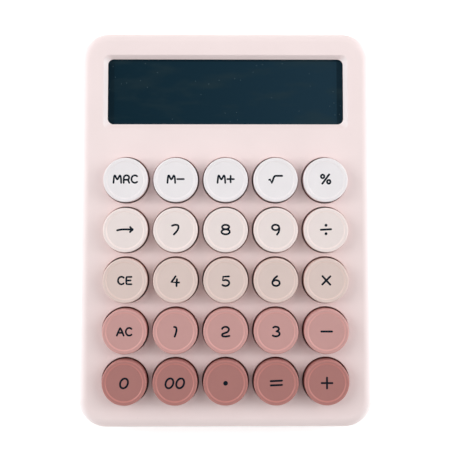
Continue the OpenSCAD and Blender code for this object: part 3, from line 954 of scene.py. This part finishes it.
# %% Wires and finishes
class Wire:
    """One output of a node that can be used in an expression."""

    def __init__(self, finish, socket):
        self.finish = finish
        self.socket = socket

    def maths(self, operation, *values, **settings):
        settings["operation"] = operation
        return self.finish.node("ShaderNodeMath", settings, dict(enumerate(values)))

    def __add__(self, other):
        return self.maths("ADD", self, other)

    def __sub__(self, other):
        return self.maths("SUBTRACT", self, other)

    def __rsub__(self, other):
        return self.maths("SUBTRACT", other, self)

    def __mul__(self, other):
        return self.maths("MULTIPLY", self, other)

    def __truediv__(self, other):
        return self.maths("DIVIDE", self, other)

    def __rtruediv__(self, other):
        return self.maths("DIVIDE", other, self)

    def __gt__(self, other):
        return self.maths("GREATER_THAN", self, other)

    def __lt__(self, other):
        return self.maths("LESS_THAN", self, other)

    def __abs__(self):
        return self.maths("ABSOLUTE", self)

    def sine(self):
        return self.maths("SINE", self)

    def clamped(self):
        return self.maths("ADD", self, 0, use_clamp=True)

    def parts(self):
        """The x, y and z of a place or direction, each as a wire."""
        split = self.finish.node("ShaderNodeSeparateXYZ", sockets={0: self}).socket.node
        return [Wire(self.finish, split.outputs[i]) for i in range(3)]

    __radd__ = __add__
    __rmul__ = __mul__


class Network:
    """A tree of nodes, with one method that adds any of them."""

    def __init__(self, tree):
        self.tree = tree

    def node(self, kind, settings=None, sockets=None, out=0):
        made = self.tree.nodes.new(kind)
        for setting, value in (settings or {}).items():
            setattr(made, setting, value)
        for socket, value in (sockets or {}).items():
            self.plug(made.inputs[socket], value)
        return Wire(self, made.outputs[out])

    def plug(self, socket, value):
        if isinstance(value, Wire):
            self.tree.links.new(value.socket, socket)
        else:
            socket.default_value = value


class Finish(Network):
    """One material. surface() sets its shader, with numbers, colours or wires."""

    def __init__(self, name):
        self.material = bpy.data.materials.new(name)
        self.material.use_nodes = True
        super().__init__(self.material.node_tree)
        self.shader = self.tree.nodes["Principled BSDF"]

    def place(self):
        """Where a point is on the object, in metres."""
        return self.node("ShaderNodeTexCoord", out="Object")

    def noise(self, size, detail=2, rough=0.5):
        """A smooth random value from 0 to 1 whose patches are about this large."""
        return self.node("ShaderNodeTexNoise", {}, {
            "Vector": self.place(), "Scale": 1 / size, "Detail": detail, "Roughness": rough})

    def specks(self, spacing, radius, spread_in="3D"):
        """1 in small round dots scattered at about this spacing, and 0 elsewhere."""
        cells = self.node("ShaderNodeTexVoronoi", {"voronoi_dimensions": spread_in}, {
            "Vector": self.place(), "Scale": 1 / spacing, "Randomness": 1}, out="Distance")
        return cells < radius / spacing

    def between(self, share, first, second):
        """A colour between two colours."""
        return self.node("ShaderNodeMix", {"data_type": "RGBA"}, {
            0: share, 6: first, 7: second}, out=2)

    def bump(self, height, depth, strength=1.0):
        return self.node("ShaderNodeBump", {}, {
            "Height": height, "Distance": depth, "Strength": strength}, out="Normal")

    def surface(self, **sockets):
        for socket, value in sockets.items():
            self.plug(self.shader.inputs[socket.replace("_", " ")], value)
        return self.material


def colour(red, green, blue):
    """A colour given as it looks on a screen, from 0 to 255, turned to linear light."""
    parts = [part / 255 for part in (red, green, blue)]
    return (*(part / 12.92 if part < 0.04045 else ((part + 0.055) / 1.055) ** 2.4 for part in parts), 1)


def shade(tone, by):
    """The same colour, lighter or darker."""
    return (*(min(1, part * by) for part in tone[:3]), 1)


def wear(piece, material):
    """Gives a piece its one finish."""
    piece.data.materials.clear()
    piece.data.materials.append(material)


# %% [markdown]
# ## Moulded plastic
# A satin moulding is not one flat colour. The pigment drifts a little over centimetres, the mould's
# texture breaks up the shine at a tenth of a millimetre, and dust leaves a few faint specks. All
# three are noises on the object's own coordinates, so they stay put from every side. The top case
# also reads the two numbers that were stored on its vertices: the hole walls are painted deeper in
# colour as painted shade, and the rounded sides paler as a painted highlight.

# %% Case finish
# Painted highlight colour for the rounded left and right sides.
painted_edge_highlight = colour(255, 247, 248)


def moulded(name, tone, gloss, grain=0.35, drift=0.05, dirt=0.0, painted_shade=None):
    finish = Finish(name)
    clouds = finish.noise(22 * mm, 3)
    fine = finish.noise(0.16 * mm, 2, 0.6)
    base = finish.between(clouds, shade(tone, 1 - drift), shade(tone, 1 + drift / 2))
    base = finish.between(fine * 0.08, base, shade(tone, 0.85))
    if dirt:
        spots = finish.specks(4 * mm, 0.15 * mm) * (finish.noise(15 * mm) > 0.55)
        base = finish.between(spots * dirt, base, shade(tone, 0.45))
    if painted_shade:
        # The hole walls are painted darker and redder here as painted shade.
        painted_shade_mask = finish.node("ShaderNodeAttribute", {"attribute_name": "shade"}, out="Fac")
        base = finish.between(painted_shade_mask, base, painted_shade)
        # The rounded sides are painted paler here as a painted highlight.
        painted_highlight_mask = finish.node("ShaderNodeAttribute", {"attribute_name": "edge"}, out="Fac")
        base = finish.between(painted_highlight_mask * 0.8, base, painted_edge_highlight)
    return finish.surface(  # the two noises add 0.07 on average
        Base_Color=base,
        Roughness=finish.noise(3 * mm) * 0.08 + fine * 0.06 + (gloss - 0.07),
        Normal=finish.bump(fine, 0.012 * mm, grain),
        IOR=1.49)


case_pink = colour(250, 233, 232)
base_pink = colour(242, 224, 222)
# Painted shade colour for the walls of the key holes.
painted_hole_shade = colour(172, 66, 52)
wear(shell, moulded("case shell", case_pink, 0.5, dirt=0.25, painted_shade=painted_hole_shade))
base_finish = moulded("lower case", base_pink, 0.52, dirt=0.2)
wear(tray, base_finish)
wear(cover, base_finish)
print("case finish made")

# %% [markdown]
# The caps run from white at the top row to a dusty rose at the bottom. The rim is painted a little
# lighter and warmer than the face as a painted highlight, the more so the darker the plastic is. A
# faint unevenness follows the flow of the plastic, and the part below the deck is painted deeper in
# colour as painted shade.

# %% Cap finishes
key_tones = [(242, 238, 240), (240, 228, 225), (224, 204, 197), (204, 156, 152), (174, 119, 114)]
# How much the rim is painted lighter and warmer in each row, as a painted highlight.
rim_highlight_gains = [0.05, 0.1, 0.1, 0.2, 0.32]
for row, (names, tone, gain) in enumerate(zip(key_rows, key_tones, rim_highlight_gains)):
    finish = Finish(row_slots[row].replace("_", " "))
    face_tone = colour(*tone)
    fine = finish.noise(0.14 * mm, 2, 0.6)
    rim = finish.node("ShaderNodeAttribute", {"attribute_name": "rim"}, out="Fac")
    flow = finish.noise(7 * mm, 3)
    base = finish.between(flow, shade(face_tone, 0.96), shade(face_tone, 1.03))
    # The rim is painted lighter and warmer here as a painted highlight.
    painted_rim_highlight = [part * (1 + gain * share) for part, share in zip(face_tone, (1, 0.6, 0.5))]
    base = finish.between(rim, base, (*(min(1, part) for part in painted_rim_highlight), 1))
    # Below the deck the cap is painted darker and redder as painted shade.
    painted_shade_mask = finish.node("ShaderNodeAttribute", {"attribute_name": "shade"}, out="Fac")
    painted_shade = (face_tone[0] * 0.6, face_tone[1] * 0.24, face_tone[2] * 0.19, 1)
    base = finish.between((painted_shade_mask * 2.4 - 0.9).clamped(), base, painted_shade)
    material = finish.surface(
        Base_Color=base,
        Roughness=0.46 - rim * 0.08 + fine * 0.06,
        Normal=finish.bump(fine, 0.01 * mm, 0.3),
        IOR=1.49)
    for name in names:
        wear(caps[name], material)

ink = Finish("printed ink")
ink_fine = ink.noise(0.25 * mm, 2)
ink_material = ink.surface(
    Base_Color=ink.between(ink_fine, colour(3, 16, 27), colour(10, 27, 40)),
    Roughness=0.5 + ink_fine * 0.2, Specular_IOR_Level=0.1)
for piece in legends.values():
    wear(piece, ink_material)
print("cap finishes:", len(key_tones))

# %% [markdown]
# The window is almost black with a blue-green cast, painted lighter toward the right as a painted
# reflection. The tint is a little lighter where the display lies behind it, darker along the printed
# edges, and a few wiping marks and dust specks show on the polish.

# %% Window finish
smoke = Finish("window smoke")
x, y = smoke.place().parts()[:2]
along = x / window_w + 0.5
# The window is painted lighter toward the right as a painted reflection.
painted_reflection = smoke.between(along.clamped(), colour(14, 39, 51), colour(28, 52, 66))
side_band = ((abs(x) - (window_w / 2 - 3 * mm)) / (0.4 * mm)).clamped()
display_y = (deck @ Vector((0, window_y + window_l / 2, lens_z))).y
top_band = ((y - (display_y - 1.1 * mm)) / (0.3 * mm)).clamped()
tint = smoke.between(side_band * 0.7, painted_reflection, colour(14, 32, 42))
tint = smoke.between(top_band * 0.7, tint, colour(12, 30, 40))
smears = smoke.node("ShaderNodeMapping", {}, {
    "Vector": smoke.place(), "Rotation": (0, 0, 0.5), "Scale": (1, 3, 1)})
smear = smoke.node("ShaderNodeTexNoise", {}, {"Vector": smears, "Scale": 45, "Detail": 3})
dust = smoke.specks(5 * mm, 0.14 * mm, "2D") * (smoke.noise(11 * mm) > 0.55)
tint = smoke.between(((smear - 0.5) * 2.2).clamped(), tint, colour(40, 56, 60))
tint = smoke.between(dust * 0.45, tint, colour(120, 140, 148))
wear(window, smoke.surface(
    Base_Color=tint, Roughness=0.08 + (smear - 0.5).clamped() * 0.3, Specular_IOR_Level=0.35))
print("window finish made")

# %% [markdown]
# ## Finishes of the inner and lower parts
# The parts inside keep their designed forms, and each gets the finish of its real material. The
# simple plastics and rubbers share one recipe; metal, glass and the circuit board have their own.

# %% Plain materials
for node, tone, gloss in [
    ("window_tape", (40, 40, 43), 0.8), ("sealed_chip", (22, 22, 25), 0.25),
    ("chip_capacitors", (181, 154, 120), 0.5), ("storage_capacitor", (42, 47, 69), 0.3),
    ("connector_strip", (217, 138, 138), 0.6), ("display_holder", (233, 231, 228), 0.5),
    ("battery", (60, 95, 138), 0.3), ("red_lead", (179, 50, 44), 0.4),
    ("black_lead", (28, 28, 30), 0.4),
]:
    wear(nodes[node], moulded(node.replace("_", " "), colour(*tone), gloss))
rubber = moulded("foot rubber", colour(58, 54, 56), 0.75, grain=0.8)
wear(feet, rubber)
silicone = moulded("silicone", colour(216, 214, 210), 0.42, drift=0.08)
carbon = moulded("carbon rubber", colour(38, 38, 42), 0.7)
wear(sheet, silicone)
for name in key_places:
    wear(bpy.data.objects["dome" + name[3:]], silicone)
    wear(bpy.data.objects["pill" + name[3:]], carbon)
print("plain finishes made")

# %% [markdown]
# Metal is a grey or gold that reflects, with a grain of a twentieth of a millimetre in its
# roughness. The board has a fine weave under the green lacquer, and wavy copper tracks that stand
# up a little. The cell's glass and its film are only seen if the case is opened.

# %% Metals, glass and board
def metal(name, tone, gloss):
    finish = Finish(name)
    grain = finish.noise(0.05 * mm, 3)
    return finish.surface(
        Base_Color=finish.between(grain, shade(colour(*tone), 0.9), colour(*tone)),
        Metallic=1.0, Roughness=grain * 0.12 + gloss)


steel = metal("nickel plated steel", (198, 198, 200), 0.25)
for node in ("board_screws", "holder_screws", "case_screws", "battery_spring", "battery_plate"):
    wear(nodes[node], steel)
wear(nodes["contact_pads"], metal("gold plating", (214, 176, 92), 0.22))
wear(nodes["reflector"], metal("brushed foil", (168, 174, 168), 0.35))

board = Finish("circuit board")
weave = board.noise(0.6 * mm, 2)
bx, by = board.place().parts()[:2]
track_pitch = 2.5 * mm
waves = (bx * (2 * pi / track_pitch) + (by * 90).sine() * 3).sine()
tracks = (waves > 0.35) * (board.noise(18 * mm) > 0.5)
wear(nodes["main_board"], board.surface(
    Base_Color=board.between(tracks, board.between(weave, colour(36, 92, 62), colour(44, 104, 72)),
                             colour(66, 128, 84)),
    Roughness=0.3 + weave * 0.1, Normal=board.bump(tracks, 0.03 * mm)))

glass = Finish("cell glass")
haze = glass.noise(12 * mm)
glass_material = glass.surface(
    Base_Color=glass.between(haze, colour(140, 160, 158), colour(156, 176, 172)),
    Roughness=haze * 0.05 + 0.04)
for node in ("front_glass", "rear_glass"):
    wear(nodes[node], glass_material)
film = Finish("grey film")
wear(nodes["front_polariser"], film.surface(
    Base_Color=film.between(film.noise(10 * mm), colour(56, 74, 78), colour(66, 84, 88)), Roughness=0.2))
print("inner finishes made")

# %% [markdown]
# ## Table and light
# The calculator lies on a plain white table. Two large soft lamps stand to its left and right, a
# weaker one behind it and a low strip on either side, with a broad even fill all round, so the
# shadows stay close to the keys and the rounded sides stay bright.

# %% Table and lamps
table_w = 40
bpy.ops.mesh.primitive_plane_add(size=table_w, location=(0, 0, 0))
table = bpy.context.object
table.name = "table"
table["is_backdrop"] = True
cloth = Finish("white table")
wear(table, cloth.surface(
    Base_Color=(0.9, 0.9, 0.9, 1), Roughness=0.9, Specular_IOR_Level=0.0,
    Emission_Color=(1, 1, 1, 1), Emission_Strength=0.38))

world = bpy.data.worlds.new("studio")
bpy.context.scene.world = world
world.use_nodes = True
tent = Network(world.node_tree)
direction = tent.node("ShaderNodeTexCoord", out="Generated").parts()
side_glow, even_glow, ceiling_dim = 0.8, 0.23, 0.8
ceiling = ((direction[2] - 0.72) / 0.22).clamped()
background = world.node_tree.nodes["Background"]
glow_all_round = abs(direction[0]) * side_glow + even_glow
tent.plug(background.inputs["Strength"], glow_all_round * (1 - ceiling * ceiling_dim))
tent.plug(background.inputs["Color"], (1, 1, 1, 1))


def softbox(name, place, target, size, power):
    bpy.ops.object.light_add(type="AREA", location=place)
    lamp = bpy.context.object
    lamp.name = name
    lamp.data.shape = "RECTANGLE"
    lamp.data.size, lamp.data.size_y = size
    lamp.data.energy = power
    lamp.rotation_euler = (Vector(target) - Vector(place)).to_track_quat("-Z", "Y").to_euler()


softbox("left softbox", (-0.6, 0.15, 0.5), (0, 0.03, 0.02), (0.5, 0.7), 2.35)
softbox("right softbox", (0.6, 0.15, 0.5), (0, 0.03, 0.02), (0.5, 0.7), 2.35)
softbox("rear softbox", (0, 0.6, 0.6), (0, 0.03, 0.02), (0.7, 0.4), 0.5)
softbox("left strip", (-0.7, 0, 0.13), (0, 0, 0.02), (0.12, 0.6), 0.6)
softbox("right strip", (0.7, 0, 0.13), (0, 0, 0.02), (0.12, 0.6), 0.6)
bpy.context.scene.view_settings.view_transform = "Standard"
print("table and lamps set")

# %% [markdown]
# ## Finish
# The size of the visual model, without the table, is measured and printed. The visual
# model must stay inside the designed size.

# %% Measure and finish
low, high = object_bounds()
print("size:", [round((b - a) / mm, 2) for a, b in zip(low, high)], "mm")
